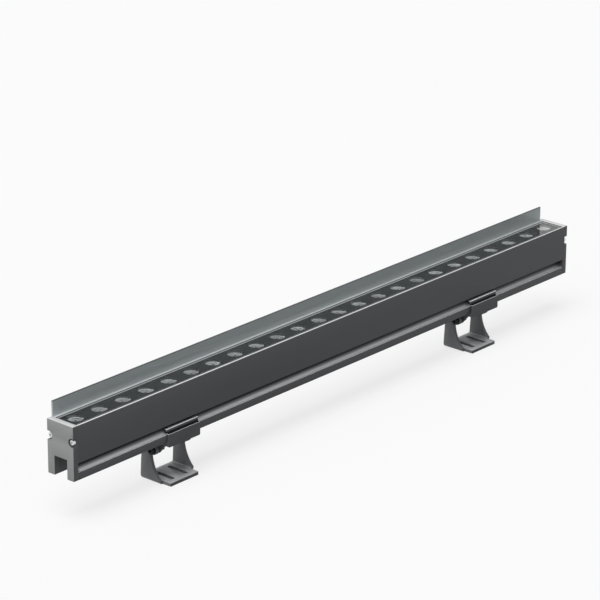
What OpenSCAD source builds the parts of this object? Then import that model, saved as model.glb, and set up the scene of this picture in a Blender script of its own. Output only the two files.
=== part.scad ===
// Outdoor wall washer light: a long aluminium lamp body with one row of lenses and a
// glare plate, carried by two clips that slide in its side grooves and two tilting feet.
// X runs along the lamp, -Y is its front, +Z is up. The origin is under the middle of the
// lamp, on the surface that the feet stand on.

/* [Body] */
// Length of the lamp over both end caps
lamp_l = 1000; // [700:10:1200]
// Width of the body, front to back
body_w = 45; // [44:0.5:50]
// Height of the body from its underside to its rim
body_h = 72.5; // [71:0.5:82]
// Thickness of the side walls beside the driver
wall_t = 3; // [2.5:0.1:3.5]
// Width of the front rim beside the glass
front_rim_w = 4; // [3.5:0.1:5]
// Width of the rear rim, visor included
rear_rim_w = 6.3; // [5:0.1:7]

/* [Cable channel] */
// Width of the channel in the underside
channel_w = 22; // [21:0.5:23]
// Height of the channel
channel_h = 26; // [25.5:0.5:28]
// Thickness of the roof over the channel
channel_roof_t = 3; // [2.5:0.1:4]

/* [Side grooves] */
// Height of a groove's lower edge over the underside
groove_low = 10; // [9:0.1:11]
// Height of a groove's upper edge over the underside
groove_high = 22.3; // [21.5:0.1:23.5]
// Depth of a groove
groove_d = 5; // [4.6:0.1:5.4]

/* [End caps] */
// Thickness of an end cap
cap_t = 8; // [7:0.1:10]
// Radius of the notch round a cap screw
notch_r = 5.8; // [5:0.1:6.5]
// Distance of the notch's centre from the side of the body
notch_in = 2.6; // [2:0.1:3]
// Height of the cap screws over the underside
notch_z = 50.7; // [48:0.1:52]
// Distance of a cap screw's axis from the side of the body
cap_screw_in = 4; // [3.8:0.1:4.4]
// Cap left under a cap screw's head
cap_seat_t = 2.5; // [2:0.1:3]
// Thickness of an end gasket
gasket_t = 1; // [0.8:0.1:1.2]

/* [Glare visor] */
// Thickness of the glare plate
visor_t = 2; // [1.5:0.1:2.5]
// Height of the glare plate over the rim
visor_rise = 20.6; // [15:0.1:40]
// Height of the glare plate's foot below the rim
visor_grip = 14.5; // [12:0.1:20]
// Screws that hold the glare plate
visor_screw_n = 6; // [4:1:10]

/* [Optics] */
// Distance between neighbouring lenses
lens_pitch = 41.15; // [36:0.05:60]
// Diameter of a lens at its face
lens_d = 21.4; // [18:0.1:22]
// Diameter of a window in the mask
window_d = 21; // [17:0.1:21]
// Least distance from the lamp's end to the middle of the first lens
lens_end_gap = 26; // [24:0.5:40]
// Depth from the rim down to the glass
glass_drop = 1.3; // [1:0.1:2]
// Thickness of the cover glass
glass_t = 3; // [2.5:0.1:4]
// Thickness of the mask
mask_t = 1.5; // [1:0.1:2]
// Width of the seal round the glass
seal_w = 2.5; // [2:0.1:3]
// Depth of the light chamber under the mask
optic_h = 10.7; // [9.5:0.1:12]

/* [Clips] */
// Distance of each clip from the middle of the lamp
clip_x = 307; // [150:1:310]
// Length of a clip along the lamp
clip_l = 58; // [56:0.5:64]
// Thickness of a clip's outer plate
clip_plate_t = 3; // [2.5:0.1:4]
// Thickness of a clip's bottom plate
clip_base_t = 6.2; // [5:0.1:7]
// Height of the outer plate's top edge over the underside of the body
clip_lip_z = 12; // [11.8:0.1:12.5]
// Height of the hook's top edge over the underside of the body
hook_z = 18.2; // [17:0.1:19.5]
// Depth of the hook's outer face inside the side of the body
hook_in = 0.6; // [0.4:0.1:1]
// Running clearance between clip and body
clip_gap = 0.3; // [0.2:0.05:0.4]

/* [Feet] */
// Height of the pivot over the surface that the feet stand on
pivot_z = 46; // [43:0.5:60]
// Depth of the pivot under the body
pivot_drop = 15.5; // [15:0.5:20]
// Distance between the inner faces of a foot's two legs
foot_in_w = 54; // [53:0.5:57]
// Thickness of the plate that a foot is bent from
foot_t = 5; // [4:0.1:5.5]
// Inner radius of a foot's bends
bend_r = 1.5; // [1:0.1:2.5]
// Reach of the base plate in front of the pivot
foot_front = 25; // [22:0.5:25.5]
// Reach of the base plate and legs behind the pivot
foot_rear = 22.5; // [21:0.5:25]
// Length of a fixing slot
slot_l = 33; // [25:0.5:36]
// Width of a fixing slot
slot_w = 7; // [5:0.1:8]
// Distance between the middles of the two slots
slot_gap = 24.4; // [20:0.1:26]
// Radius of the eye round the pivot
eye_r = 7; // [6.8:0.1:7.6]

/* [Hidden] */
$fn = 48;

// Overrun of every cut past the face that it opens
over = 1;
// Radial clearance of a screw in its threaded hole
thread_gap = 0.05;

// Places shared by the whole body, with heights over its underside
half_w = body_w / 2;
body_lift = pivot_z + pivot_drop;
profile_l = lamp_l - 2 * cap_t;
half_profile = profile_l / 2;
half_lamp = lamp_l / 2;
channel_front = -channel_w / 2;
channel_rear = channel_w / 2;
chamber_floor = channel_h + channel_roof_t;
glass_top = body_h - glass_drop;
mask_top = glass_top - glass_t;
mask_under = mask_top - mask_t;
shelf_top = mask_under - optic_h;
shelf_t = 4;
shelf_under = shelf_top - shelf_t;
recess_front = -half_w + front_rim_w;
recess_rear = half_w - rear_rim_w;
ledge_w = 3;
visor_low = body_h - visor_grip;

// Cap screws: M4 with a hexagon socket, in a boss of the profile
cap_screw_r = 2;
cap_head_r = 3.5;
cap_head_h = 4;
cap_socket_r = 1.75;
cap_socket_d = 2;
cap_screw_l = 18;
cap_screw_slack = 0.3;
boss_r = 4;

// Gasket edge inside the outline of the body
gasket_in = 1.5;

// Visor screws: M3 with a low round head
visor_screw_r = 1.5;
visor_head_r = 2.8;
visor_head_h = 1.8;
visor_screw_l = 6;
visor_screw_end = 30;
visor_socket_r = 1.15;
visor_socket_d = 1;

// Light engine
board_w = 24;
board_t = 1.6;
pad_t = 0.5;
board_end = 4;
board_top = shelf_top + pad_t + board_t;
lens_gap = 0.1;
lens_h = mask_under - lens_gap - board_top;
lens_face_t = 1.6;
lens_skirt_r = 9.6;
lens_foot_r = 6.5;
lens_foot_h = 1;
lens_pocket_r = 3;
lens_pocket_h = 4;
chip_w = 3.5;
chip_h = 0.8;
chip_dome_r = 1.3;
lens_n = floor((lamp_l - 2 * lens_end_gap) / lens_pitch) + 1;
lens_first = -(lens_n - 1) * lens_pitch / 2;
board_screw_step = 4;
board_screw_r = 1.5;
board_screw_l = 5;
board_head_r = 2.8;
board_head_h = 1.6;

// Cable gland in the roof of the channel
gland_end_gap = 52;
gland_x = -half_profile + gland_end_gap;

// Driver, beside the gland in its chamber, with its tall parts sized by the room over the board
driver_l = 240;
driver_gland_gap = 40;
driver_x = gland_x + driver_gland_gap + driver_l / 2;
driver_w = 34;
driver_t = 1.6;
driver_hole_in = 3;
spacer_r = 3;
spacer_h = 3;
driver_low = chamber_floor + spacer_h;
driver_top = driver_low + driver_t;
driver_screw_l = 8;
driver_room = shelf_under - driver_top;
core_l = 30;
core_w = 24;
core_h_share = 0.8;
core_h = core_h_share * driver_room;
core_yoke_share = 0.25;
core_yoke_t = core_yoke_share * core_h;
bobbin_l = core_l - core_yoke_t;
bobbin_w = 30;
bobbin_h = core_h - core_yoke_t / 2;
capacitor_r = 5;
capacitor_h_share = 0.8;
capacitor_h = capacitor_h_share * driver_room;
capacitor_gap = 16;
capacitor_bevel = 0.6;
terminal_l = 10;
terminal_w = 17;
terminal_h_share = 0.5;
terminal_h = terminal_h_share * driver_room;
terminal_poles = 3;
terminal_pitch = 5;
terminal_entry_share = 0.45;
terminal_entry_z = terminal_entry_share * terminal_h;
terminal_entry_d = 5;
lead_r = 1.1;
lead_slack = 0.1;
lead_spread_share = 0.8;
led_lead_in = 14;
led_lead_gap = 4;
grommet_bore_r = 4;
grommet_neck_r = 5;
grommet_rim_r = 6.5;
grommet_rim_t = 1.2;

// Parts of the gland
gland_r = 6;
gland_bore_r = 3.6;
gland_flat_w = 17;
gland_flange_t = 4;
gland_stem_l = 8;
gland_above = 4;
gland_wall = 1.2;
gland_nut_l = 12;
gland_seal_gap = 0.2;
locknut_flat_w = 15;
locknut_t = 3;

// Set screws that lock a clip: M5
lock_r = 2.5;
lock_socket_r = 1.45;
lock_socket_d = 2.5;
lock_front = -half_w + (half_w + channel_front) / 2;
lock_rear = half_w - (half_w - channel_rear) / 2;
lock_recess = 0.4;

// Pivot: M6 screw with a hexagon socket, washer, spring washer and nut
pivot_r = 3;
pivot_gap = 0.06;
pivot_head_r = 5.2;
pivot_head_h = 3.5;
pivot_socket_r = 2.3;
pivot_socket_d = 2.2;
washer_r = 6;
washer_t = 1.2;
washer_gap = 0.2;
spring_r = 5.4;
spring_t = 1.6;
spring_slit = 0.8;
nut_flat_w = 10;
nut_t = 5;
pivot_tip = 1;
cheek_t = 5;
cheek_gap = 0.3;
cheek_r = 6.8;
cheek_front = 19;
cheek_rear = 15;
clip_corner_share = 0.9;
eye_cut_share = 0.98;
leg_in = foot_in_w / 2;
leg_out = leg_in + foot_t;
cheek_out = leg_in - cheek_gap;
cheek_in = cheek_out - cheek_t;
head_seat = leg_out + washer_gap + washer_t;
nut_seat = cheek_in - spring_t;
clip_corner_r = clip_corner_share * (clip_l / 2 - cheek_out);

// Outline of a leg, in distances from the pivot
neck_front = 4.4;
neck_top_z = -11.5;
neck_rear_in = 2;
leg_arc_r = 48;
leg_arc_z = -5.5;
leg_toe = -11;

finish_body = "#4b4c4e";
finish_cap = "#8d8e8d";
finish_mask = "#2c2d2e";
finish_steel = "#c9cbcd";
finish_rubber = "#3a3a3a";
finish_board = "#e9ebe6";
finish_driver = "#2f6b3c";

// A rectangle of the section, from front to rear and from low to high
module patch(y0, y1, z0, z1) {
    translate([y0, z0]) square([y1 - y0, z1 - z0]);
}

// Runs a section drawn in Y and Z along the lamp
module run(x0, x1) {
    translate([x0, 0, 0]) rotate([90, 0, 90]) linear_extrude(x1 - x0) children();
}

// A round bar along the lamp
module bar_x(x0, x1, r, y, z) {
    translate([x0, y, z]) rotate([0, 90, 0]) cylinder(h = x1 - x0, r = r);
}

// A hexagon of a width over its flats
module hexagon(flat_w) {
    circle(r = flat_w / 2 / cos(30), $fn = 6);
}

module on_body() {
    translate([0, 0, body_lift]) children();
}

module at_pivot(x) {
    translate([x, 0, pivot_z]) children();
}

module mirrored(flip) {
    mirror([flip ? 1 : 0, 0, 0]) children();
}

// One side groove in the section: a flat back over a coved floor
module groove_cut(grow) {
    centre_z = groove_low + groove_d;
    intersection() {
        translate([-half_w, centre_z]) circle(r = groove_d + grow);
        patch(-half_w - over, half_w, groove_low - groove_d, centre_z);
    }
    patch(-half_w - over, -half_w + groove_d + grow, centre_z - grow / 2, groove_high + grow);
    patch(-half_w - over, -half_w, groove_low - grow, centre_z);
}

// Outer outline of the profile, drawn in by an inset
module body_outline(inset) {
    difference() {
        patch(-half_w + inset, half_w - inset, inset, body_h - inset);
        patch(channel_front - inset, channel_rear + inset, -over, channel_h + inset);
        for (side = [0, 1]) mirror([side, 0]) groove_cut(inset);
    }
}

module boss_circles(r) {
    for (side = [-1, 1]) translate([side * (half_w - cap_screw_in), notch_z]) circle(r = r);
}

module housing_section() {
    difference() {
        body_outline(0);
        difference() {
            patch(-half_w + wall_t, half_w - wall_t, chamber_floor, shelf_under);
            boss_circles(boss_r);
        }
        patch(recess_front + ledge_w, recess_rear - ledge_w, shelf_top, mask_under + over);
        patch(recess_front, recess_rear, mask_under, body_h + over);
        patch(half_w - visor_t, half_w + over, visor_low, body_h + over);
    }
}

function board_screw_places() = [
    for (gap = [2 : board_screw_step : lens_n - 2]) lens_first + (gap - 0.5) * lens_pitch
];

function visor_screw_places() = [
    for (i = [0 : visor_screw_n - 1])
        -half_profile + visor_screw_end + i * (profile_l - 2 * visor_screw_end) / (visor_screw_n - 1)
];

visor_screw_z = (visor_low + body_h) / 2;
led_lead_x = driver_x + driver_l / 2 - led_lead_in;
driver_hole_x = driver_l / 2 - driver_hole_in;
driver_hole_y = driver_w / 2 - driver_hole_in;

module driver_holes() {
    for (sx = [-1, 1], sy = [-1, 1])
        translate([driver_x + sx * driver_hole_x, sy * driver_hole_y, 0]) children();
}

module housing() {
    cap_pilot_l = cap_screw_l - cap_seat_t + over;
    visor_pilot_l = visor_screw_l - visor_t;
    color(finish_body) on_body() difference() {
        run(-half_profile, half_profile) housing_section();
        for (end = [-1, 1], side = [-1, 1])
            bar_x(end * half_profile - cap_pilot_l, end * half_profile + cap_pilot_l,
                cap_screw_r + thread_gap, side * (half_w - cap_screw_in), notch_z);
        for (x = visor_screw_places())
            translate([x, half_w - visor_t + over, visor_screw_z]) rotate([90, 0, 0])
                cylinder(h = visor_pilot_l + 2 * over, r = visor_screw_r + thread_gap);
        for (x = board_screw_places())
            translate([x, 0, shelf_under - over])
                cylinder(h = shelf_t + 2 * over, r = board_screw_r + thread_gap);
        driver_holes() translate([0, 0, driver_top - driver_screw_l - over])
            cylinder(h = driver_screw_l, r = board_screw_r + thread_gap);
        translate([gland_x, 0, channel_h - over])
            cylinder(h = channel_roof_t + 2 * over, r = gland_r + thread_gap);
        translate([led_lead_x, 0, shelf_under - over])
            cylinder(h = shelf_t + 2 * over, r = grommet_neck_r);
    }
}

module visor() {
    color(finish_body) on_body() difference() {
        run(-half_profile, half_profile)
            patch(half_w - visor_t, half_w, visor_low, body_h + visor_rise);
        for (x = visor_screw_places())
            translate([x, half_w + over, visor_screw_z]) rotate([90, 0, 0])
                cylinder(h = visor_t + 2 * over, r = visor_screw_r + thread_gap);
    }
}

// A screw that points down its own axis, with its head on the plane z = 0
module socket_screw(shank_r, shank_l, head_r, head_h, socket_r, socket_d) {
    difference() {
        union() {
            translate([0, 0, -shank_l]) cylinder(h = shank_l, r = shank_r);
            cylinder(h = head_h, r = head_r);
        }
        translate([0, 0, head_h - socket_d])
            cylinder(h = socket_d + over, r = socket_r, $fn = 6);
    }
}

module visor_screws() {
    color(finish_steel) on_body() for (x = visor_screw_places())
        translate([x, half_w, visor_screw_z]) rotate([-90, 0, 0])
            socket_screw(visor_screw_r, visor_screw_l, visor_head_r, visor_head_h,
                visor_socket_r, visor_socket_d);
}

// The left end cap; the right one is its mirror image
module end_cap(flip) {
    seat_x = -half_profile - cap_seat_t;
    color(finish_cap) mirrored(flip) on_body() difference() {
        run(-half_lamp, -half_profile) difference() {
            patch(-half_w, half_w, 0, body_h);
            patch(channel_front, channel_rear, -over, channel_h);
        }
        run(-half_profile - gasket_t, -half_profile + over) body_outline(gasket_in);
        for (side = [-1, 1]) {
            bar_x(-half_lamp - over, seat_x, notch_r, side * (half_w - notch_in), notch_z);
            run(-half_lamp - over, seat_x)
                patch(min(side * half_w, side * (half_w - notch_in)) - (side < 0 ? over : 0),
                    max(side * half_w, side * (half_w - notch_in)) + (side > 0 ? over : 0),
                    notch_z - notch_r, notch_z + notch_r);
            bar_x(-half_lamp, -half_profile + over, cap_screw_r + cap_screw_slack,
                side * (half_w - cap_screw_in), notch_z);
        }
    }
}

module end_gasket(flip) {
    color(finish_rubber) mirrored(flip) on_body()
        run(-half_profile - gasket_t, -half_profile) difference() {
            body_outline(gasket_in);
            boss_circles(cap_screw_r + cap_screw_slack);
        }
}

module cap_screws() {
    color(finish_steel) on_body() for (flip = [false, true], side = [-1, 1])
        mirrored(flip)
            translate([-half_profile - cap_seat_t, side * (half_w - cap_screw_in), notch_z])
                rotate([0, -90, 0])
                    socket_screw(cap_screw_r, cap_screw_l, cap_head_r, cap_head_h,
                        cap_socket_r, cap_socket_d);
}

module glass() {
    color("lightblue", 0.4) on_body() run(-half_profile + seal_w, half_profile - seal_w)
        patch(recess_front + seal_w, recess_rear - seal_w, mask_top, glass_top);
}

module glass_seal() {
    color("silver") on_body() difference() {
        run(-half_profile, half_profile) patch(recess_front, recess_rear, mask_top, glass_top);
        run(-half_profile + seal_w, half_profile - seal_w)
            patch(recess_front + seal_w, recess_rear - seal_w, mask_top - over, glass_top + over);
    }
}

module at_lenses() {
    for (i = [0 : lens_n - 1]) translate([lens_first + i * lens_pitch, 0, 0]) children();
}

module lens_mask() {
    color(finish_mask) on_body() difference() {
        run(-half_profile, half_profile) patch(recess_front, recess_rear, mask_under, mask_top);
        at_lenses() translate([0, 0, mask_under - over])
            cylinder(h = mask_t + 2 * over, r = window_d / 2);
    }
}

// One collimating lens, standing on the board
module lens_unit() {
    skirt_h = lens_h - lens_face_t - lens_foot_h;
    difference() {
        union() {
            cylinder(h = lens_foot_h, r = lens_foot_r);
            translate([0, 0, lens_foot_h]) cylinder(h = skirt_h, r1 = lens_foot_r, r2 = lens_skirt_r);
            translate([0, 0, lens_h - lens_face_t]) cylinder(h = lens_face_t, r = lens_d / 2);
        }
        translate([0, 0, -over]) cylinder(h = lens_pocket_h + over, r = lens_pocket_r);
    }
}

module lenses() {
    color("gainsboro") on_body() translate([0, 0, board_top]) at_lenses() lens_unit();
}

module led_chips() {
    color("khaki") on_body() translate([0, 0, board_top]) at_lenses() {
        translate([-chip_w / 2, -chip_w / 2, 0]) cube([chip_w, chip_w, chip_h]);
        intersection() {
            translate([0, 0, chip_h]) sphere(r = chip_dome_r);
            cylinder(h = chip_h + chip_dome_r, r = chip_dome_r);
        }
    }
}

// A strip on the shelf, with its screw holes and the hole for the leads
module shelf_strip(z0, z1, lead_hole_r) {
    difference() {
        run(-half_profile + board_end, half_profile - board_end)
            patch(-board_w / 2, board_w / 2, z0, z1);
        for (x = board_screw_places()) translate([x, 0, z0 - over])
            cylinder(h = z1 - z0 + 2 * over, r = board_screw_r + thread_gap);
        if (lead_hole_r > 0) translate([led_lead_x, 0, z0 - over])
            cylinder(h = z1 - z0 + 2 * over, r = lead_hole_r);
    }
}

module led_board() {
    color(finish_board) on_body() shelf_strip(shelf_top + pad_t, board_top, 0);
}

module thermal_pad() {
    color("lightgrey") on_body() shelf_strip(shelf_top, shelf_top + pad_t, grommet_bore_r);
}

module pan_screw(shank_l) {
    translate([0, 0, -shank_l]) cylinder(h = shank_l, r = board_screw_r);
    cylinder(h = board_head_h, r = board_head_r);
}

module board_screws() {
    color(finish_steel) on_body() for (x = board_screw_places())
        translate([x, 0, board_top]) pan_screw(board_screw_l);
}

module driver_board() {
    color(finish_driver) on_body() difference() {
        translate([driver_x - driver_l / 2, -driver_w / 2, driver_low])
            cube([driver_l, driver_w, driver_t]);
        driver_holes() translate([0, 0, driver_low - over])
            cylinder(h = driver_t + 2 * over, r = board_screw_r + thread_gap);
    }
}

module board_spacers() {
    color("white") on_body() driver_holes() translate([0, 0, chamber_floor]) difference() {
        cylinder(h = spacer_h, r = spacer_r);
        translate([0, 0, -over]) cylinder(h = spacer_h + 2 * over, r = board_screw_r + thread_gap);
    }
}

module driver_screws() {
    color(finish_steel) on_body() driver_holes() translate([0, 0, driver_top])
        pan_screw(driver_screw_l);
}

// Transformer: a wound bobbin between the two halves of its core
module transformer() {
    color("#6b5b3a") on_body() translate([driver_x, 0, driver_top]) {
        for (end = [-1, 1])
            translate([end * (core_l - core_yoke_t) / 2 - core_yoke_t / 2, -core_w / 2, 0])
                cube([core_yoke_t, core_w, core_h]);
        translate([-core_l / 2, -core_w / 2, core_h - core_yoke_t])
            cube([core_l, core_w, core_yoke_t]);
        translate([-bobbin_l / 2, -bobbin_w / 2, 0]) cube([bobbin_l, bobbin_w, bobbin_h]);
    }
}

module capacitors() {
    color("#23272b") on_body() for (side = [-1, 1])
        translate([driver_x + side * (core_l / 2 + capacitor_gap), 0, driver_top]) {
            cylinder(h = capacitor_h - capacitor_bevel, r = capacitor_r);
            translate([0, 0, capacitor_h - capacitor_bevel])
                cylinder(h = capacitor_bevel, r1 = capacitor_r, r2 = capacitor_r - capacitor_bevel);
        }
}

terminal_x = driver_x - driver_l / 2;
terminal_back = terminal_x + driver_hole_in * 2 + terminal_l;
terminal_front = terminal_back - terminal_l;
lead_z = driver_top + terminal_entry_z;

function pole_y(i) = (i - (terminal_poles - 1) / 2) * terminal_pitch;

module terminal_block() {
    color("seagreen") on_body() difference() {
        translate([terminal_front, -terminal_w / 2, driver_top])
            cube([terminal_l, terminal_w, terminal_h]);
        for (i = [0 : terminal_poles - 1])
            bar_x(terminal_front - over, terminal_front + terminal_entry_d,
                lead_r + lead_slack, pole_y(i), lead_z);
    }
}

// Inner leads: up out of the gland, over, and into the terminal block
module supply_leads() {
    fan = gland_bore_r - lead_r - lead_slack;
    color("saddlebrown") on_body() for (i = [0 : terminal_poles - 1]) {
        turn_x = gland_x + (i == 1 ? fan : -fan / 2);
        rise_y = pole_y(i);
        start_y = (i - 1) * fan * lead_spread_share;
        translate([turn_x, start_y, chamber_floor]) cylinder(h = lead_z - chamber_floor, r = lead_r);
        translate([turn_x, start_y, lead_z]) sphere(r = lead_r);
        if (rise_y != start_y) translate([turn_x, min(start_y, rise_y), lead_z]) rotate([-90, 0, 0])
            cylinder(h = abs(rise_y - start_y), r = lead_r);
        translate([turn_x, rise_y, lead_z]) sphere(r = lead_r);
        bar_x(turn_x, terminal_front + terminal_entry_d - lead_slack, lead_r, rise_y, lead_z);
    }
}

module led_leads() {
    color("firebrick") on_body() for (side = [-1, 1])
        translate([led_lead_x, side * led_lead_gap / 2, driver_top])
            cylinder(h = shelf_top + pad_t - driver_top, r = lead_r);
}

module shelf_grommet() {
    color(finish_rubber) on_body() translate([led_lead_x, 0, shelf_under]) difference() {
        union() {
            cylinder(h = shelf_t, r = grommet_neck_r);
            translate([0, 0, -grommet_rim_t]) cylinder(h = grommet_rim_t, r = grommet_rim_r);
        }
        translate([0, 0, -grommet_rim_t - over])
            cylinder(h = shelf_t + grommet_rim_t + 2 * over, r = grommet_bore_r);
    }
}

gland_flange_low = channel_h - gland_flange_t;
gland_stem_low = gland_flange_low - gland_stem_l;
gland_nut_low = gland_flange_low - gland_nut_l;

module gland_body() {
    color(finish_rubber) on_body() translate([gland_x, 0, 0]) difference() {
        union() {
            translate([0, 0, gland_flange_low]) linear_extrude(gland_flange_t)
                hexagon(gland_flat_w);
            translate([0, 0, gland_stem_low])
                cylinder(h = channel_h + channel_roof_t + gland_above - gland_stem_low, r = gland_r);
        }
        translate([0, 0, gland_stem_low - over])
            cylinder(h = channel_h + channel_roof_t + gland_above - gland_stem_low + 2 * over,
                r = gland_bore_r + gland_wall);
    }
}

module gland_nut() {
    neck_h = gland_nut_l - gland_stem_l;
    color(finish_rubber) on_body() translate([gland_x, 0, 0]) difference() {
        translate([0, 0, gland_nut_low]) linear_extrude(gland_nut_l) hexagon(gland_flat_w);
        translate([0, 0, gland_nut_low + neck_h])
            cylinder(h = gland_stem_l + over, r = gland_r + thread_gap);
        translate([0, 0, gland_nut_low - over])
            cylinder(h = neck_h + 2 * over, r = gland_bore_r);
    }
}

module gland_seal() {
    color("dimgrey") on_body() translate([gland_x, 0, gland_stem_low]) difference() {
        cylinder(h = gland_stem_l, r = gland_bore_r + gland_wall - gland_seal_gap);
        translate([0, 0, -over]) cylinder(h = gland_stem_l + 2 * over, r = gland_bore_r - gland_seal_gap);
    }
}

module gland_locknut() {
    color(finish_steel) on_body() translate([gland_x, 0, chamber_floor]) difference() {
        linear_extrude(locknut_t) hexagon(locknut_flat_w);
        translate([0, 0, -over]) cylinder(h = locknut_t + 2 * over, r = gland_r + thread_gap);
    }
}

// One jaw of a clip in the section, at the front: an outer plate and the hook in the groove
module jaw() {
    plate_out = -half_w - clip_gap - clip_plate_t;
    centre_z = groove_low + groove_d;
    hook_r = groove_d - clip_gap;
    patch(plate_out, -half_w - clip_gap, -clip_gap - clip_base_t, clip_lip_z);
    intersection() {
        translate([-half_w, centre_z]) circle(r = hook_r);
        union() {
            patch(-half_w, -half_w + hook_in, groove_low, clip_lip_z);
            patch(-half_w + hook_in, half_w, groove_low, centre_z);
        }
    }
    patch(-half_w - clip_gap, -half_w, groove_low + clip_gap, clip_lip_z);
    patch(-half_w + hook_in, -half_w + hook_r, centre_z, hook_z);
}

// Point near the rim of a round end, where a straight edge from a far point runs into it
function edge_end(dy, dz, r, turn) =
    let (a = atan2(dz, dy) + turn * acos(r / norm([dy, dz])))
    eye_cut_share * r * [cos(a), sin(a)];

// A clip's cheek in the section: a plate that narrows down to the eye of the pivot
module cheek_section() {
    top_z = pivot_drop - clip_gap - clip_base_t / 2;
    circle(r = cheek_r);
    polygon([
        [-cheek_front, top_z],
        edge_end(-cheek_front, top_z, cheek_r, 1),
        [0, 0],
        edge_end(cheek_rear, top_z, cheek_r, -1),
        [cheek_rear, top_z],
    ]);
}

module lock_places() {
    for (y = [lock_front, lock_rear]) translate([0, y, 0]) children();
}

// What a round corner leaves of a square one, to be cut away
module corner_waste(r) {
    difference() {
        translate([-over, -over]) square(r + over);
        translate([r, r]) circle(r = r);
    }
}

module clip(flip) {
    reach = half_w + clip_gap + clip_plate_t;
    color(finish_body) mirrored(flip) translate([-clip_x, 0, 0]) difference() {
        union() {
            on_body() difference() {
                run(-clip_l / 2, clip_l / 2) {
                    patch(-half_w - clip_gap, half_w + clip_gap, -clip_gap - clip_base_t, -clip_gap);
                    for (side = [0, 1]) mirror([side, 0]) jaw();
                }
                for (side = [0, 1]) mirror([side, 0, 0])
                    translate([-clip_l / 2, reach + over, -clip_gap - clip_base_t])
                        rotate([90, 0, 0]) linear_extrude(2 * (reach + over))
                            corner_waste(clip_corner_r);
            }
            for (side = [0, 1]) mirror([side, 0, 0]) at_pivot(0) run(cheek_in, cheek_out)
                cheek_section();
        }
        at_pivot(0) bar_x(-cheek_out - over, cheek_out + over, pivot_r + thread_gap, 0, 0);
        on_body() lock_places() translate([0, 0, -clip_gap - clip_base_t - over])
            cylinder(h = clip_base_t + 2 * over, r = lock_r + thread_gap);
    }
}

module lock_screws(flip) {
    color(finish_steel) mirrored(flip) translate([-clip_x, 0, 0]) on_body() lock_places()
        translate([0, 0, -clip_gap - clip_base_t + lock_recess]) difference() {
            cylinder(h = clip_base_t - lock_recess, r = lock_r);
            translate([0, 0, -over]) cylinder(h = lock_socket_d + over, r = lock_socket_r, $fn = 6);
        }
}

// Draws its child at both ends of a pivot, with +Z pointing out of the foot
module pivot_ends(flip) {
    mirrored(flip) at_pivot(-clip_x) for (side = [0, 1]) mirror([side, 0, 0])
        rotate([0, 90, 0]) children();
}

module pivot_bolts(flip) {
    color(finish_steel) pivot_ends(flip) translate([0, 0, head_seat])
        socket_screw(pivot_r, head_seat - nut_seat + nut_t + pivot_tip, pivot_head_r, pivot_head_h,
            pivot_socket_r, pivot_socket_d);
}

module ring(h, r_out, r_in) {
    difference() {
        cylinder(h = h, r = r_out);
        translate([0, 0, -over]) cylinder(h = h + 2 * over, r = r_in);
    }
}

module pivot_washers(flip) {
    color(finish_steel) pivot_ends(flip) translate([0, 0, leg_out + washer_gap])
        ring(washer_t, washer_r, pivot_r + thread_gap);
}

module spring_washers(flip) {
    color(finish_steel) pivot_ends(flip) translate([0, 0, nut_seat]) difference() {
        ring(spring_t, spring_r, pivot_r + thread_gap);
        translate([0, -spring_slit / 2, -over]) cube([spring_r + over, spring_slit, spring_t + 2 * over]);
    }
}

module pivot_nuts(flip) {
    color(finish_steel) pivot_ends(flip) translate([0, 0, nut_seat - nut_t]) difference() {
        linear_extrude(nut_t) hexagon(nut_flat_w);
        translate([0, 0, -over]) cylinder(h = nut_t + 2 * over, r = pivot_r + thread_gap);
    }
}

// A leg in the section, about the pivot: eye, neck and a front edge that sweeps out to the toe
module leg_section() {
    arc_y = neck_front - leg_arc_r;
    neck_rear = foot_rear - neck_rear_in;
    circle(r = eye_r);
    difference() {
        polygon([
            [leg_toe, -pivot_z],
            [foot_rear, -pivot_z],
            [neck_rear, neck_top_z],
            edge_end(neck_rear, neck_top_z, eye_r, 1),
            [0, 0],
            [leg_toe, leg_arc_z],
        ]);
        translate([arc_y, leg_arc_z]) circle(r = leg_arc_r);
    }
}

// Front view of a foot's bent plate: the base, a bend and an upright leg at each side
module foot_bend() {
    bend_out = bend_r + foot_t;
    flat_half = leg_out - bend_out;
    translate([-flat_half, 0]) square([2 * flat_half, foot_t]);
    for (side = [0, 1]) mirror([side, 0]) {
        translate([leg_in, bend_out]) square([foot_t, pivot_z + eye_r]);
        intersection() {
            translate([flat_half, bend_out]) difference() {
                circle(r = bend_out);
                circle(r = bend_r);
            }
            translate([flat_half, 0]) square(bend_out);
        }
    }
}

module yoke(flip) {
    slot_mid = (foot_rear - foot_front) / 2;
    slot_straight = slot_l - slot_w;
    base_half = leg_out - bend_r - foot_t;
    color(finish_cap) mirrored(flip) translate([-clip_x, 0, 0]) difference() {
        union() {
            translate([-base_half, -foot_front, 0])
                cube([2 * base_half, foot_front + foot_rear, foot_t]);
            intersection() {
                translate([0, foot_rear, 0]) rotate([90, 0, 0])
                    linear_extrude(foot_rear + foot_front) foot_bend();
                at_pivot(0) run(-leg_out - over, leg_out + over) leg_section();
            }
        }
        at_pivot(0) bar_x(-leg_out - over, leg_out + over, pivot_r + pivot_gap, 0, 0);
        for (side = [-1, 1]) translate([side * slot_gap / 2, slot_mid, -over]) {
            for (end = [-1, 1]) translate([0, end * slot_straight / 2, 0])
                cylinder(h = foot_t + 2 * over, r = slot_w / 2);
            translate([-slot_w / 2, -slot_straight / 2, 0])
                cube([slot_w, slot_straight, foot_t + 2 * over]);
        }
    }
}

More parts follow.
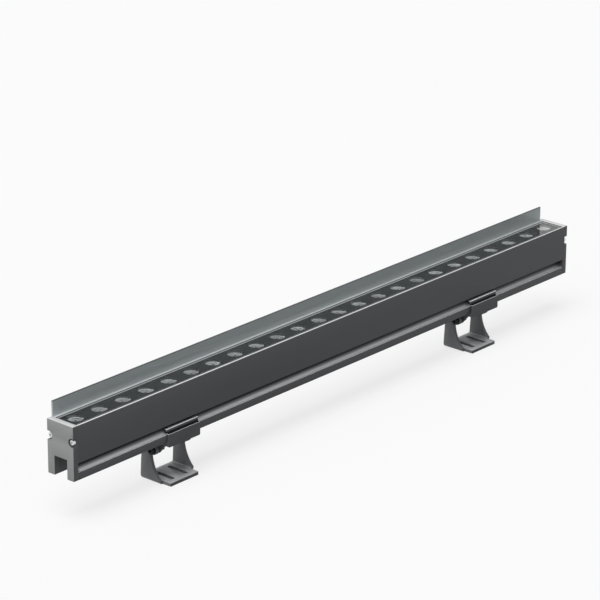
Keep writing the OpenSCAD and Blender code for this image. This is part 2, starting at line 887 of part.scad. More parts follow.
housing();
visor();
visor_screws();
end_cap(false);  // end_cap_left
end_cap(true);  // end_cap_right
end_gasket(false);  // end_gasket_left
end_gasket(true);  // end_gasket_right
cap_screws();
glass();
glass_seal();
lens_mask();
lenses();
led_chips();
led_board();
thermal_pad();
board_screws();
driver_board();
board_spacers();
driver_screws();
transformer();
capacitors();
terminal_block();
supply_leads();
led_leads();
shelf_grommet();
gland_body();
gland_nut();
gland_seal();
gland_locknut();
clip(false);  // clip_left
clip(true);  // clip_right
lock_screws(false);  // lock_screws_left
lock_screws(true);  // lock_screws_right
pivot_bolts(false);  // pivot_bolts_left
pivot_bolts(true);  // pivot_bolts_right
pivot_washers(false);  // pivot_washers_left
pivot_washers(true);  // pivot_washers_right
spring_washers(false);  // spring_washers_left
spring_washers(true);  // spring_washers_right
pivot_nuts(false);  // pivot_nuts_left
pivot_nuts(true);  // pivot_nuts_right
yoke(false);  // yoke_left
yoke(true);  // yoke_right
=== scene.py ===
"""Outdoor wall washer light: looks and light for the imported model, in metres.

The frame brings every solid at its place. This script cuts the real edges and details of the
pieces that show, gives every surface its finish, and sets up the studio and the camera.
"""

import logging
import math
from collections.abc import Iterable
from dataclasses import dataclass, field
from enum import Enum
from functools import cache
from itertools import repeat

import bmesh
import bpy
from bpy.types import Material, Node, NodeSocket, NodeTree, Object
from mathutils import Color, Matrix, Vector


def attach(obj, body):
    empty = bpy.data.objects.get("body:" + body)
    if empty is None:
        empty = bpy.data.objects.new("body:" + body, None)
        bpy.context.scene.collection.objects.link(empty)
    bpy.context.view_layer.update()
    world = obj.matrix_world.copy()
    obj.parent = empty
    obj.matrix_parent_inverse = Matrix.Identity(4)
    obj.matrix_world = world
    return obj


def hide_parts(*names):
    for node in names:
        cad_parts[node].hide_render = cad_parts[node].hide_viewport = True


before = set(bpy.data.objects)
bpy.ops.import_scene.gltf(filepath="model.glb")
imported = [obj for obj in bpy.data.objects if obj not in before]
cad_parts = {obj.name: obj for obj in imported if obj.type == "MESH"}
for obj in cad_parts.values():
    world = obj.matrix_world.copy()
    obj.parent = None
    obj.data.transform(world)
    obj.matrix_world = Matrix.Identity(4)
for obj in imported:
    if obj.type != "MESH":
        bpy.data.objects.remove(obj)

logging.basicConfig(level=logging.INFO, format="%(message)s")
log = logging.getLogger("wall_washer")

MM = 0.001
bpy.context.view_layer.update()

LEFTWARD = Vector((-1, 0, 0))
RIGHTWARD = Vector((1, 0, 0))
REARWARD = Vector((0, 1, 0))
UPWARD = Vector((0, 0, 1))


class Body(Enum):
    """The bodies that a piece can ride on."""

    LAMP = "lamp"
    CLIP_LEFT = "clip_left"
    CLIP_RIGHT = "clip_right"
    FOOT_LEFT = "foot_left"
    FOOT_RIGHT = "foot_right"


class Side(Enum):
    """The two ends of the lamp, with the direction of each along X."""

    LEFT = -1
    RIGHT = 1

    @property
    def word(self) -> str:
        """The word that ends the names of this side's nodes."""
        return self.name.lower()


class Face(Enum):
    """The two long faces of the lamp, with the direction of each along Y."""

    FRONT = -1
    REAR = 1


class Axis(Enum):
    """The axes of the lamp's frame: along it, to its rear and up."""

    X = "X"
    Y = "Y"
    Z = "Z"


# Colour and nodes

FULL_BYTE = 255

# Sockets of a Mix node, by number, because those for numbers and colours share their names
MIX_NUMBER_A = 2
MIX_NUMBER_B = 3
MIX_NUMBER = 0
MIX_COLOUR_A = 6
MIX_COLOUR_B = 7
MIX_COLOUR = 2

# The values between which a noise mostly lies
NOISE_SPAN = (0.35, 0.7)

# Metal shares of anodised aluminium, which is partly coat, and of the bare metal that
# carries painted highlights and painted shade
ANODISED = 0.25
PAINTED_LIGHT_METAL = 0.6


def linear(hex_colour: str) -> tuple[float, float, float, float]:
    """Turns an sRGB hex colour into linear light.

    Args:
        hex_colour: Colour as "#rrggbb".

    Returns:
        Red, green, blue and full opacity.
    """
    shares = [byte / FULL_BYTE for byte in bytes.fromhex(hex_colour.removeprefix("#"))]
    return (*Color(shares).from_srgb_to_scene_linear(), 1.0)


def add_node(
    tree: NodeTree, kind: str, sockets: dict[str | int, object] | None = None, **settings: object
) -> Node:
    """Adds one node with its settings, values and links.

    Args:
        tree: Node tree to add it to.
        kind: Type of the node.
        sockets: For each input, by name or number, a value or the output socket to link.
        settings: Properties of the node itself.

    Returns:
        The new node.
    """
    node = tree.nodes.new(kind)
    for name, value in settings.items():
        setattr(node, name, value)
    for key, value in (sockets or {}).items():
        if isinstance(value, NodeSocket):
            tree.links.new(value, node.inputs[key])
        else:
            node.inputs[key].default_value = value
    return node


def new_material(name: str) -> tuple[Material, NodeTree]:
    """Makes a material with an empty node tree.

    Args:
        name: Name of the material.

    Returns:
        The material and its node tree.
    """
    material = bpy.data.materials.new(name)
    material.use_nodes = True
    material.node_tree.nodes.clear()
    return material, material.node_tree


def show(tree: NodeTree, shader: NodeSocket) -> None:
    """Links a shader to the material's output."""
    add_node(tree, "ShaderNodeOutputMaterial", {"Surface": shader})


def object_point(tree: NodeTree) -> NodeSocket:
    """Gives the point in the lamp's own frame, in metres."""
    return add_node(tree, "ShaderNodeTexCoord").outputs["Object"]


def two_tones(
    tree: NodeTree, factor: NodeSocket, low: str, high: str, span: tuple[float, float] = NOISE_SPAN
) -> NodeSocket:
    """Turns a factor into a colour between two tones.

    Args:
        tree: Node tree.
        factor: Socket that carries the factor.
        low: Hex colour at the lower end.
        high: Hex colour at the upper end.
        span: Values of the factor at the two ends.

    Returns:
        The colour socket.
    """
    ramp = add_node(tree, "ShaderNodeValToRGB", {"Fac": factor})
    for stop, place, tone in zip(ramp.color_ramp.elements, span, (low, high)):
        stop.position = place
        stop.color = linear(tone)
    return ramp.outputs["Color"]


# Zones of a surface


@dataclass(frozen=True)
class Rise:
    """A rise from nothing to full between two places on one axis of the lamp, in mm."""

    axis: Axis
    start: float
    full: float

    def factor(self, tree: NodeTree) -> NodeSocket:
        """Gives 0 up to the start and 1 from the full place on.

        Args:
            tree: Node tree.

        Returns:
            The factor socket.
        """
        parts = add_node(tree, "ShaderNodeSeparateXYZ", {"Vector": object_point(tree)})
        ramp = add_node(
            tree,
            "ShaderNodeMapRange",
            {
                "Value": parts.outputs[self.axis.value],
                "From Min": self.start * MM,
                "From Max": self.full * MM,
            },
        )
        return ramp.outputs["Result"]


def past(axis: Axis, edge_mm: float, reach_mm: tuple[float, float], way: int = 1) -> Rise:
    """Gives the rise of a tone at an edge of the lamp.

    Args:
        axis: Axis across the edge.
        edge_mm: Place of the edge.
        reach_mm: How far past the edge the tone starts, and how far past it is full.
        way: 1, or -1 for the mirror image of the edge on the lamp's other side.

    Returns:
        The rise.
    """
    start, full = (way * (edge_mm + reach) for reach in reach_mm)
    return Rise(axis, start, full)


@dataclass(frozen=True)
class Zone:
    """A part of a surface with a tone of its own, where all its rises are full.

    A zone with a metal share shows bare metal there. Most zones here paint light and shade onto a
    surface.
    """

    tone: str
    rises: tuple[Rise, ...]
    metal: float | None = None

    def share(self, tree: NodeTree) -> NodeSocket:
        """Gives the product of the zone's rises.

        Args:
            tree: Node tree.

        Returns:
            The factor socket.
        """
        share = self.rises[0].factor(tree)
        for rise in self.rises[1:]:
            both = add_node(
                tree, "ShaderNodeMath", {0: share, 1: rise.factor(tree)}, operation="MULTIPLY"
            )
            share = both.outputs["Value"]
        return share


def add_zones(
    tree: NodeTree, colour: NodeSocket, metal: float, zones: Iterable[Zone]
) -> dict[str, NodeSocket | float]:
    """Lays each zone's tone and metal share over those of the surface.

    Args:
        tree: Node tree.
        colour: Socket of the colour under the zones.
        metal: Metal share under the zones.
        zones: The zones, the last one on top.

    Returns:
        Base colour and metal share for the surface's shader.
    """
    metallic: NodeSocket | float = metal
    for zone in zones:
        share = zone.share(tree)
        mix = add_node(
            tree,
            "ShaderNodeMix",
            {"Factor": share, MIX_COLOUR_A: colour, MIX_COLOUR_B: linear(zone.tone)},
            data_type="RGBA",
        )
        colour = mix.outputs[MIX_COLOUR]
        if zone.metal is not None:
            bare = add_node(
                tree,
                "ShaderNodeMix",
                {"Factor": share, MIX_NUMBER_A: metallic, MIX_NUMBER_B: zone.metal},
            )
            metallic = bare.outputs[MIX_NUMBER]
    return {"Base Color": colour, "Metallic": metallic}


# Kinds of finish


@dataclass(frozen=True)
class Finish:
    """What a surface is made of and how it was made."""

    name: str

    def inputs(self, tree: NodeTree) -> dict[str, object]:
        """Gives the inputs of the surface's shader, each kind of finish in its own way."""
        raise NotImplementedError

    @cache
    def material(self) -> Material:
        """Builds the material, the first time that it is asked for.

        Returns:
            The material.
        """
        material, tree = new_material(self.name)
        shader = add_node(tree, "ShaderNodeBsdfPrincipled", self.inputs(tree))
        show(tree, shader.outputs["BSDF"])
        return material


@dataclass(frozen=True)
class ExtrudedAluminium(Finish):
    """Anodised aluminium, extruded: fine die lines along the lamp, and zones of painted light.

    The die lines streak the sheen lengthwise, and a painted highlight on the rim shows as a light
    line. Real die lines are finer. These are as coarse as they need to be to show.
    """

    tone: str
    streak: str
    zones: tuple[Zone, ...] = ()
    line_mm: float = 0.35
    line_length_mm: float = 160.0
    line_detail: float = 3.0
    line_breakup: float = 0.6
    line_span: tuple[float, float] = (0.3, 0.7)
    relief: float = 0.12
    relief_mm: float = 0.02
    metallic: float = ANODISED
    roughness: tuple[float, float] = (0.38, 0.50)
    specular: float = 0.05

    def inputs(self, tree: NodeTree) -> dict[str, object]:
        """Gives the inputs of the surface's shader.

        Args:
            tree: Node tree.

        Returns:
            The value or link of each input.
        """
        lengthwise = 1 / (self.line_length_mm * MM)
        across = 1 / (self.line_mm * MM)
        place = add_node(
            tree,
            "ShaderNodeMapping",
            {"Vector": object_point(tree), "Scale": (lengthwise, across, across)},
        )
        noise = add_node(
            tree,
            "ShaderNodeTexNoise",
            {
                "Vector": place.outputs["Vector"],
                "Scale": 1.0,
                "Detail": self.line_detail,
                "Roughness": self.line_breakup,
            },
        )
        lines = noise.outputs["Fac"]
        rough = add_node(
            tree,
            "ShaderNodeMapRange",
            {
                "Value": lines,
                "From Min": self.line_span[0],
                "From Max": self.line_span[1],
                "To Min": self.roughness[0],
                "To Max": self.roughness[1],
            },
        )
        bump = add_node(
            tree,
            "ShaderNodeBump",
            {"Height": lines, "Strength": self.relief, "Distance": self.relief_mm * MM},
        )
        colour = two_tones(tree, lines, self.tone, self.streak)
        return {
            **add_zones(tree, colour, self.metallic, self.zones),
            "Roughness": rough.outputs["Result"],
            "Specular IOR Level": self.specular,
            "Normal": bump.outputs["Normal"],
        }


@dataclass(frozen=True)
class Grained(Finish):
    """A surface of one colour with a fine grain, which breaks up its sheen.

    Real grain is finer than this in most finishes. It is as coarse as it needs to be to show.
    """

    tone: str
    speck: str
    roughness: float = 0.55
    specular: float = 0.5
    grain_mm: float = 0.5
    grain_span: tuple[float, float] = NOISE_SPAN
    relief: float = 0.3
    relief_mm: float = 0.02
    zones: tuple[Zone, ...] = ()

    def inputs(self, tree: NodeTree) -> dict[str, object]:
        """Gives the inputs of the surface's shader.

        Args:
            tree: Node tree.

        Returns:
            The value or link of each input.
        """
        noise = add_node(
            tree,
            "ShaderNodeTexNoise",
            {"Vector": object_point(tree), "Scale": 1 / (self.grain_mm * MM)},
        )
        grain = noise.outputs["Fac"]
        bump = add_node(
            tree,
            "ShaderNodeBump",
            {"Height": grain, "Strength": self.relief, "Distance": self.relief_mm * MM},
        )
        colour = two_tones(tree, grain, self.tone, self.speck, self.grain_span)
        return {
            **add_zones(tree, colour, metal=0.0, zones=self.zones),
            "Roughness": self.roughness,
            "Specular IOR Level": self.specular,
            "Normal": bump.outputs["Normal"],
        }


@dataclass(frozen=True)
class MouldedPlastic(Grained):
    """Moulded plastic or rubber, or a printed coat: even, with a fine spark-eroded texture."""


@dataclass(frozen=True)
class CastPowderCoat(Grained):
    """Die-cast or bent aluminium under powder coat: a fine orange peel with little gloss."""

    roughness: float = 0.5
    specular: float = 0.3
    grain_mm: float = 0.6
    relief: float = 0.25
    relief_mm: float = 0.03


@dataclass(frozen=True)
class Phosphor(Grained):
    """The phosphor coat of an unlit light-emitting diode: chalky and flat."""

    roughness: float = 0.35
    grain_mm: float = 0.3
    grain_span: tuple[float, float] = (0.35, 0.65)
    relief: float = 0.0


@dataclass(frozen=True)
class TurnedSteel(Finish):
    """Steel, turned or rolled: bright, with fine tool marks that smear the light."""

    tone: str = "#e0e1e3"
    mark: str = "#bcbec0"
    mark_mm: float = 0.25
    mark_detail: float = 3.0
    mark_span: tuple[float, float] = (0.3, 0.6)
    roughness: tuple[float, float] = (0.22, 0.36)

    def inputs(self, tree: NodeTree) -> dict[str, object]:
        """Gives the inputs of the surface's shader.

        Args:
            tree: Node tree.

        Returns:
            The value or link of each input.
        """
        noise = add_node(
            tree,
            "ShaderNodeTexNoise",
            {
                "Vector": object_point(tree),
                "Scale": 1 / (self.mark_mm * MM),
                "Detail": self.mark_detail,
            },
        )
        marks = noise.outputs["Fac"]
        low, high = self.roughness
        rough = add_node(
            tree, "ShaderNodeMapRange", {"Value": marks, "To Min": low, "To Max": high}
        )
        return {
            "Base Color": two_tones(tree, marks, self.mark, self.tone, self.mark_span),
            "Metallic": 1.0,
            "Roughness": rough.outputs["Result"],
        }


@dataclass(frozen=True)
class SiliconeSeal(Finish):
    """Moulded silicone between rim and glass: pale on top, its walls painted shade."""

    top: str
    # Tone of the walls below the glass top, which is painted shade
    wall: str
    rise: Rise
    roughness: float = 0.6

    def inputs(self, tree: NodeTree) -> dict[str, object]:
        """Gives the inputs of the surface's shader.

        Args:
            tree: Node tree.

        Returns:
            The value or link of each input.
        """
        colour = two_tones(tree, self.rise.factor(tree), self.wall, self.top, span=(0.0, 1.0))
        return {"Base Color": colour, "Roughness": self.roughness}


@dataclass(frozen=True)
class FloatGlass(Finish):
    """Float glass with an anti-reflex coating: clear, with faint wiping marks in its gloss."""

    tint: str = "#fafcfb"
    ior: float = 1.5
    mark_mm: float = 14.0
    roughness: tuple[float, float] = (0.0, 0.03)

    def inputs(self, tree: NodeTree) -> dict[str, object]:
        """Gives the inputs of the surface's shader.

        Args:
            tree: Node tree.

        Returns:
            The value or link of each input.
        """
        marks = add_node(
            tree,
            "ShaderNodeTexNoise",
            {"Vector": object_point(tree), "Scale": 1 / (self.mark_mm * MM)},
        )
        low, high = self.roughness
        rough = add_node(
            tree,
            "ShaderNodeMapRange",
            {"Value": marks.outputs["Fac"], "To Min": low, "To Max": high},
        )
        return {
            "Base Color": linear(self.tint),
            "Roughness": rough.outputs["Result"],
            "IOR": self.ior,
            "Transmission Weight": 1.0,
        }


@dataclass(frozen=True)
class MouldedAcrylic(Finish):
    """Clear acrylic lenses, moulded: their pale tone is painted light from the reflector cone.

    Rings round each lens's axis, each given by its share of the radius, give its grey face and
    the darker eye in the middle, with painted highlights along the edge and round the eye. Turned
    streaks vary the tone of the face.
    """

    first_mm: float
    pitch_mm: float
    radius_mm: float
    rings: tuple[tuple[float, str], ...] = (
        (0.0, "#6f7071"),
        (0.20, "#7a7b7c"),
        (0.25, "#e9eaea"),
        (0.31, "#b4b5b6"),
        (0.60, "#cacbcc"),
        (0.80, "#a8a9aa"),
        (0.86, "#eeefef"),
        (1.0, "#f8f9f9"),
    )
    streak_mm: tuple[float, float, float] = (9.0, 1.2, 3.0)
    streak_turn_deg: float = 35.0
    streak_detail: float = 1.0
    streak_tones: tuple[str, str] = ("#c6c6c6", "#ffffff")
    streak_span: tuple[float, float] = (0.38, 0.62)
    roughness: float = 0.18
    ior: float = 1.49
    coat: float = 0.4

    def inputs(self, tree: NodeTree) -> dict[str, object]:
        """Gives the inputs of the surface's shader.

        Args:
            tree: Node tree.

        Returns:
            The value or link of each input.
        """
        colour = add_node(
            tree,
            "ShaderNodeMix",
            {"Factor": 1.0, MIX_COLOUR_A: self.ring_tone(tree), MIX_COLOUR_B: self.face_streaks(tree)},
            data_type="RGBA",
            blend_type="MULTIPLY",
        )
        return {
            "Base Color": colour.outputs[MIX_COLOUR],
            "Roughness": self.roughness,
            "IOR": self.ior,
            "Coat Weight": self.coat,
        }

    def ring_tone(self, tree: NodeTree) -> NodeSocket:
        """Gives the painted tone of the ring that a point lies on, round the nearest lens's axis.

        Args:
            tree: Node tree.

        Returns:
            The colour socket.
        """
        parts = add_node(tree, "ShaderNodeSeparateXYZ", {"Vector": object_point(tree)})
        from_first = add_node(
            tree,
            "ShaderNodeMath",
            {0: parts.outputs["X"], 1: self.first_mm * MM},
            operation="SUBTRACT",
        )
        half = self.pitch_mm * MM / 2
        along = add_node(
            tree,
            "ShaderNodeMath",
            {0: from_first.outputs["Value"], 1: half, 2: -half},
            operation="WRAP",
        )
        flat = add_node(
            tree, "ShaderNodeCombineXYZ", {"X": along.outputs["Value"], "Y": parts.outputs["Y"]}
        )
        distance = add_node(
            tree, "ShaderNodeVectorMath", {0: flat.outputs["Vector"]}, operation="LENGTH"
        )
        share = add_node(
            tree,
            "ShaderNodeMath",
            {0: distance.outputs["Value"], 1: self.radius_mm * MM},
            operation="DIVIDE",
        )
        ramp = add_node(tree, "ShaderNodeValToRGB", {"Fac": share.outputs["Value"]})
        stops = ramp.color_ramp.elements
        for place, _ in self.rings[1:-1]:
            stops.new(place)
        for stop, (place, tone) in zip(stops, self.rings):
            stop.position = place
            stop.color = linear(tone)
        return ramp.outputs["Color"]

    def face_streaks(self, tree: NodeTree) -> NodeSocket:
        """Gives the tone of the streaks on the face.

        Args:
            tree: Node tree.

        Returns:
            The colour socket.
        """
        turned = add_node(
            tree,
            "ShaderNodeMapping",
            {
                "Vector": object_point(tree),
                "Scale": tuple(1 / (size * MM) for size in self.streak_mm),
                "Rotation": (0, 0, math.radians(self.streak_turn_deg)),
            },
        )
        streak_noise = add_node(
            tree,
            "ShaderNodeTexNoise",
            {"Vector": turned.outputs["Vector"], "Detail": self.streak_detail},
        )
        return two_tones(tree, streak_noise.outputs["Fac"], *self.streak_tones, self.streak_span)


# Hand tools

# Corners this near to each other are one corner, and faces this near to level are one face
MERGE_MM = 0.002
FLAT_DEG = 0.5

# Edges sharper than the first angle are rounded, and flatter than the second shade smoothly
SHARP_DEG = 35.0
SMOOTH_DEG = 32.0
ROUND_STEPS = 2
TURNED_SIDES = 48

# Boxes are sorted by their lowest corners in metres, to this many digits
SORT_DIGITS = 4


def only(obj: Object) -> None:
    """Deselects everything, then selects one object and makes it active.

    Args:
        obj: The object.
    """
    bpy.ops.object.select_all(action="DESELECT")
    obj.select_set(True)
    bpy.context.view_layer.objects.active = obj


def smooth(obj: Object, angle_deg: float = SMOOTH_DEG) -> None:
    """Smooths the shading over edges flatter than an angle."""
    only(obj)
    bpy.ops.object.shade_smooth_by_angle(angle=math.radians(angle_deg))


def clean_copy(node: str, name: str) -> Object:
    """Copies a node of the frame and joins its loose triangles into whole faces.

    Args:
        node: Name of the node.
        name: Name of the copy.

    Returns:
        The copy, a closed mesh with flat faces in one piece each.
    """
    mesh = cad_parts[node].data.copy()
    mesh.materials.clear()
    obj = bpy.data.objects.new(name, mesh)
    bpy.context.scene.collection.objects.link(obj)
    only(obj)
    bpy.ops.mesh.customdata_custom_splitnormals_clear()
    bpy.ops.object.mode_set(mode="EDIT")
    bpy.ops.mesh.select_all(action="SELECT")
    bpy.ops.mesh.remove_doubles(threshold=MERGE_MM * MM)
    bpy.ops.mesh.dissolve_limited(angle_limit=math.radians(FLAT_DEG))
    bpy.ops.object.mode_set(mode="OBJECT")
    return obj


def rounded_copy(node: str, name: str, round_mm: float) -> Object:
    """Copies a node of the frame and rounds its sharp edges, as blasting and coating do.

    Args:
        node: Name of the node.
        name: Name of the copy.
        round_mm: Width of the rounding.

    Returns:
        The rounded piece, which stands for the node.
    """
    obj = clean_copy(node, name)
    bevel = obj.modifiers.new("Bevel", "BEVEL")
    bevel.width = round_mm * MM
    bevel.segments = ROUND_STEPS
    bevel.limit_method = "ANGLE"
    bevel.angle_limit = math.radians(SHARP_DEG)
    bevel.use_clamp_overlap = False
    bpy.ops.object.modifier_apply(modifier=bevel.name)
    smooth(obj)
    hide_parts(node)
    return obj


def solid_boxes(node: str) -> list[tuple[Vector, Vector]]:
    """Finds the box of each separate solid of a node.

    Args:
        node: Name of the node.

    Returns:
        Lowest and highest corner of each solid, from left to right and front to rear.
    """
    clean_copy(node, f"{node}_parts")
    bpy.ops.mesh.separate(type="LOOSE")
    boxes = []
    for part in list(bpy.context.selected_objects):
        places = list(zip(*(vertex.co for vertex in part.data.vertices)))
        low = Vector([min(along) for along in places])
        high = Vector([max(along) for along in places])
        boxes.append((low, high))
        bpy.data.objects.remove(part)
    return sorted(boxes, key=lambda box: [round(place, SORT_DIGITS) for place in box[0].xy])


class Profile:
    """A round piece grown step by step from a disc, up its own axis, like work on a lathe."""

    def __init__(self, name: str, radius_mm: float) -> None:
        """Starts the piece.

        Args:
            name: Name of the piece.
            radius_mm: Radius of the first disc.
        """
        bpy.ops.object.select_all(action="DESELECT")
        bpy.ops.mesh.primitive_circle_add(
            vertices=TURNED_SIDES, radius=radius_mm * MM, fill_type="NGON"
        )
        self.obj = bpy.context.active_object
        self.obj.name = name
        self.radius_mm = radius_mm
        self.height_mm = 0.0
        bpy.ops.object.mode_set(mode="EDIT")
        bpy.ops.mesh.select_all(action="SELECT")

    def step(self, radius_mm: float, rise_mm: float) -> None:
        """Extrudes the end face and gives it a new radius.

        Args:
            radius_mm: New radius.
            rise_mm: Rise of the new face over the last one.
        """
        bpy.ops.mesh.extrude_region_move(TRANSFORM_OT_translate={"value": (0, 0, rise_mm * MM)})
        self.height_mm += rise_mm
        share = radius_mm / self.radius_mm
        bpy.ops.transform.resize(
            value=(share, share, 1.0), center_override=(0, 0, self.height_mm * MM)
        )
        self.radius_mm = radius_mm

    def six_sided(self, flat_mm: float) -> None:
        """Extrudes the end face in place and draws its corners onto a hexagon.

        Args:
            flat_mm: Width over the hexagon's flats.
        """
        bpy.ops.mesh.extrude_region_move(TRANSFORM_OT_translate={"value": (0, 0, 0)})
        mesh = bmesh.from_edit_mesh(self.obj.data)
        flat_angle = math.pi / 3
        for vertex in (v for v in mesh.verts if v.select):
            angle = math.atan2(vertex.co.y, vertex.co.x)
            off = (angle % flat_angle) - flat_angle / 2
            reach = flat_mm / 2 / math.cos(off) * MM
            vertex.co.x = reach * math.cos(angle)
            vertex.co.y = reach * math.sin(angle)
        bmesh.update_edit_mesh(self.obj.data)
        self.radius_mm = flat_mm / 2

    def done(self, angle_deg: float = SMOOTH_DEG) -> Object:
        """Closes the work, turns the faces outwards and smooths the round walls.

        Args:
            angle_deg: Edges flatter than this are smoothed.

        Returns:
            The piece.
        """
        bpy.ops.mesh.select_all(action="SELECT")
        bpy.ops.mesh.normals_make_consistent(inside=False)
        bpy.ops.object.mode_set(mode="OBJECT")
        smooth(self.obj, angle_deg)
        return self.obj


def place_copy(model: Object, name: str, seat: Vector, out: Vector) -> Object:
    """Copies a piece made on the Z axis and sets it on its seat.

    Args:
        model: The piece, with its seat at the origin and its head towards +Z.
        name: Name of the copy.
        seat: Place of the seat.
        out: Direction that the head points to.

    Returns:
        The copy, with its own mesh.
    """
    copy = model.copy()
    copy.data = model.data.copy()
    copy.name = name
    bpy.context.scene.collection.objects.link(copy)
    turn = out.to_track_quat("Z", "Y").to_matrix().to_4x4()
    copy.data.transform(Matrix.Translation(seat) @ turn)
    return copy


# Places on the lamp, in millimetres

END_MM = 500.0
RIM_MM = 134.0
VISOR_TOP_MM = 154.6
GLASS_TOP_MM = 132.7
LENS_COUNT = 24
LENS_PITCH_MM = 41.15
LENS_FIRST_MM = -(LENS_COUNT - 1) / 2 * LENS_PITCH_MM
LENS_FACE_R_MM = 10.4
FRONT_BEAD_MM = -20.4
GROOVE_LOW_MM = 71.5
GROOVE_HIGH_MM = 83.8
GROOVE_WALL_MM = 16.0
CLIP_MM = 307.0
LIP_TOP_MM = 73.5
HOOK_TOP_MM = 79.7
FOOT_TOP_MM = 5.0
FOOT_FRONT_MM = -25.0
FOOT_HALF_MM = 27.0

# How far past its edge each tone starts, and how far past it is full, in millimetres

RIM_REACH = (-0.3, -0.15)
FALL_REACH = (0.1, -0.1)
GROOVE_REACH = (0.0, 0.2)
GROOVE_FLOOR_REACH = (-0.1, 0.05)
VISOR_EDGE_REACH = (-0.9, -0.5)
SEAL_REACH = (-0.5, -0.2)
CAP_REACH = (-0.4, -0.1)
LIP_HIGHLIGHT_REACH = (-0.6, -0.4)
LIP_SHADE_REACH = (-0.1, 0.0)
HOOK_WALL_REACH = (1.6, 2.0)
HOOK_HIGHLIGHT_REACH = (-1.5, -1.2)
FOOT_TOP_REACH = (-0.7, -0.5)
FOOT_BEND_REACH = (1.2, 0.3)
FOOT_SIDE_REACH = (-0.7, -0.8)
FOOT_FRONT_REACH = (0.5, 0.2)
FOOT_LIGHT_MARGIN_MM = 0.5

# The painted highlight on a groove's lower flank starts under its roof and is full over
# its floor. It counts three times over, so that it comes up slowly.
HIGHLIGHT_ROOF_MM = 1.5
HIGHLIGHT_FLOOR_MM = 0.3
HIGHLIGHT_TIMES = 3

RIM = past(Axis.Z, RIM_MM, RIM_REACH)
FRONT_HALF = past(Axis.Y, 0.0, FALL_REACH)
FRONT_BEAD = past(Axis.Y, FRONT_BEAD_MM, FALL_REACH)


# Finishes of this lamp


def groove_painted_light() -> tuple[Zone, ...]:
    """Gives the zones of both side grooves.

    The whole groove is painted shade, and a painted highlight, shown as bare metal, rises from
    under its roof to its floor.

    Returns:
        Dark and bright zone of each groove.
    """
    floor = past(Axis.Z, GROOVE_LOW_MM, GROOVE_FLOOR_REACH)
    roof = past(Axis.Z, GROOVE_HIGH_MM, FALL_REACH)
    highlight_rise = Rise(Axis.Z, GROOVE_HIGH_MM - HIGHLIGHT_ROOF_MM, GROOVE_LOW_MM + HIGHLIGHT_FLOOR_MM)
    zones = []
    for face in Face:
        inside = past(Axis.Y, GROOVE_WALL_MM, GROOVE_REACH, face.value)
        # Painted shade inside the groove, up to its roof
        zones.append(Zone("#08090a", (inside, floor, roof), metal=PAINTED_LIGHT_METAL))
        # Painted highlight on the groove's lower flank
        zones.append(Zone("#dcdfe0", (inside, floor, *[highlight_rise] * HIGHLIGHT_TIMES), metal=PAINTED_LIGHT_METAL))
    return tuple(zones)


# An even dark grey with a dull sheen. The rim's top is painted light: pale at the rear, darker
# in front, with a painted highlight along the front's outer bead. The grooves carry painted
# shade and painted highlights.
HOUSING_FINISH = ExtrudedAluminium(
    "dark anodised extrusion",
    "#58595b",
    "#5c5d5f",
    zones=(
        *groove_painted_light(),
        Zone("#c0c3c4", (RIM,)),
        Zone("#3c3e3f", (RIM, FRONT_HALF)),
        Zone("#dddede", (RIM, FRONT_BEAD)),
    ),
)

# A lighter grey than the body and dark along the cut edge. Its lower part is painted paler,
# as painted light from the bright rim below, so that it darkens towards its top.
VISOR_FINISH = ExtrudedAluminium(
    "grey anodised sheet",
    "#b6bcbe",
    "#bac0c2",
    zones=(
        Zone("#a4abad", (Rise(Axis.Z, RIM_MM, VISOR_TOP_MM),)),
        Zone("#585b5c", (past(Axis.Z, VISOR_TOP_MM, VISOR_EDGE_REACH),)),
    ),
    metallic=0.3,
)

# Dark and grainy round the sides. The mid grey on the end faces is painted light, and the pale
# band along the rim is a painted highlight.
CAP_FINISH = CastPowderCoat(
    "dark powder coat on a casting",
    "#525355",
    "#565759",
    zones=(
        *(Zone("#888a89", (past(Axis.X, END_MM, CAP_REACH, side.value),)) for side in Side),
        Zone("#cbcccc", (RIM,)),
    ),
)

# As dark as the body. The upper edges of lip and hook carry painted highlights, shown as bare
# metal, and the gap between them is painted shade.
CLIP_FINISH = ExtrudedAluminium(
    "dark anodised clip section",
    "#525557",
    "#57595b",
    zones=(
        Zone("#d2d4d4", (past(Axis.Z, LIP_TOP_MM, LIP_HIGHLIGHT_REACH),), metal=PAINTED_LIGHT_METAL),
        Zone("#1e2021", (past(Axis.Z, LIP_TOP_MM, LIP_SHADE_REACH),), metal=ANODISED),
        Zone("#505355", (past(Axis.Z, LIP_TOP_MM, HOOK_WALL_REACH),)),
        Zone("#dfe1e1", (past(Axis.Z, HOOK_TOP_MM, HOOK_HIGHLIGHT_REACH),), metal=PAINTED_LIGHT_METAL),
    ),
)


